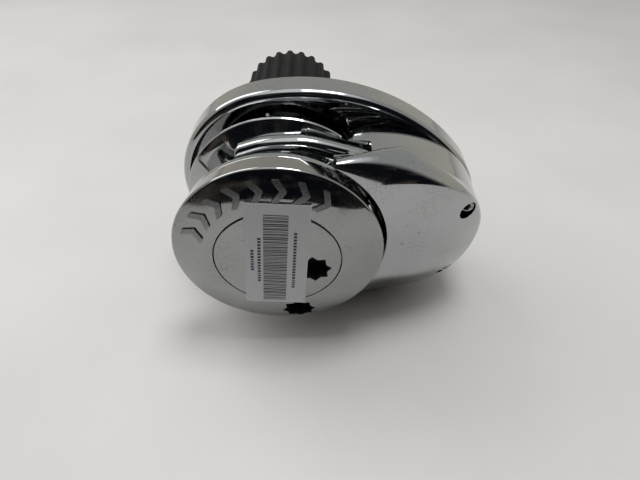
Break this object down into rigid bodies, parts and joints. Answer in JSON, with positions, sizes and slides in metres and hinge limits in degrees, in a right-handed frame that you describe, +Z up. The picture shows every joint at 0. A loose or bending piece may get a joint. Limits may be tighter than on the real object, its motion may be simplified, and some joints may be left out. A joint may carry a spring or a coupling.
{
  "type": "anchor windlass head",
  "caption": "Vertical anchor windlass head: cap and clutch nut over a grooved chain wheel, domed chain pipe cover on an oval deck plate, sprung pressure arm and ribbed spacer tube.",
  "frame": {"origin": "on the main shaft's axis, at the deck face (the gasket's underside)", "axes": "+Z up along the main shaft, away from the deck; +X from the shaft towards the narrow end of the plate, where the chain pipe is; +Y towards the side that the pressure arm and the chain mouth are on"},
  "size_m": [0.2174, 0.1604, 0.2626],
  "materials": {
    "polished_chrome": "polished chrome plate over cast bronze, lightly scratched",
    "gasket_rubber": "matt black rubber sheet",
    "black_tube": "black anodised ribbed extrusion, satin",
    "pipe_plastic": "matt black moulded plastic",
    "bronze": "machined bronze",
    "bearing_steel": "ground bearing steel",
    "spring_steel": "oiled spring steel",
    "seal_rubber": "black nitrile rubber",
    "shaft_steel": "turned stainless steel",
    "cone_metal": "turned and bead-blasted steel",
    "fixing_steel": "stainless steel",
    "stripper_steel": "satin stainless steel"
  },
  "bodies": {
    "base": {"base_plate": "polished_chrome", "deck_gasket": "gasket_rubber", "spacer_tube": "black_tube", "chain_pipe": "pipe_plastic", "lower_bush": "bronze", "bearing_outer_race": "bearing_steel", "bearing_balls": "bearing_steel", "bearing_circlip": "spring_steel", "oil_seal": "seal_rubber", "chain_pipe_cover": "polished_chrome", "cover_screws": "fixing_steel", "cover_washers": "fixing_steel", "arm_pin": "shaft_steel", "arm_spring": "spring_steel", "arm_circlip": "spring_steel", "chain_stripper": "stripper_steel", "stripper_screws": "fixing_steel"},
    "shaft": {"mainshaft": "shaft_steel", "shaft_circlip": "spring_steel", "shaft_sleeve": "shaft_steel", "bearing_inner_race": "bearing_steel", "lower_cone_key": "spring_steel", "upper_cone_key": "spring_steel", "lower_clutch_cone": "cone_metal"},
    "wheel": {"chain_wheel": "polished_chrome", "wheel_bush": "bronze", "cap_ring": "polished_chrome", "cap_dowels": "spring_steel"},
    "cone": {"upper_clutch_cone": "cone_metal", "nut_washer": "fixing_steel"},
    "nut": {"clutch_nut": "polished_chrome"},
    "arm": {"pressure_arm": "polished_chrome", "arm_bush": "bronze"}
  },
  "joints": [
    {"name": "shaft_spin", "type": "hinge", "parent": "base", "child": "shaft", "pos_m": [0, 0, 0], "axis": [0, 0, 1], "continuous": true},
    {"name": "wheel_spin", "type": "hinge", "parent": "shaft", "child": "wheel", "pos_m": [0, 0, 0.056], "axis": [0, 0, 1], "continuous": true},
    {"name": "cone_release", "type": "slide", "parent": "shaft", "child": "cone", "axis": [0, 0, 1], "range_m": [0, 0.00151]},
    {"name": "nut_turn", "type": "hinge", "parent": "cone", "child": "nut", "pos_m": [0, 0, 0.09], "axis": [0, 0, 1], "range_deg": [0, 270]},
    {"name": "arm_swing", "type": "hinge", "parent": "base", "child": "arm", "pos_m": [0.042, 0.056, 0.0525], "axis": [0, 0, -1], "range_deg": [0, 16], "stiffness_Nm_per_rad": 0.8, "springref_deg": -17.19}
  ],
  "couplings": [
    {"joint": "cone_release", "follows": "nut_turn", "m_per_rad": 0.00031831}
  ]
}
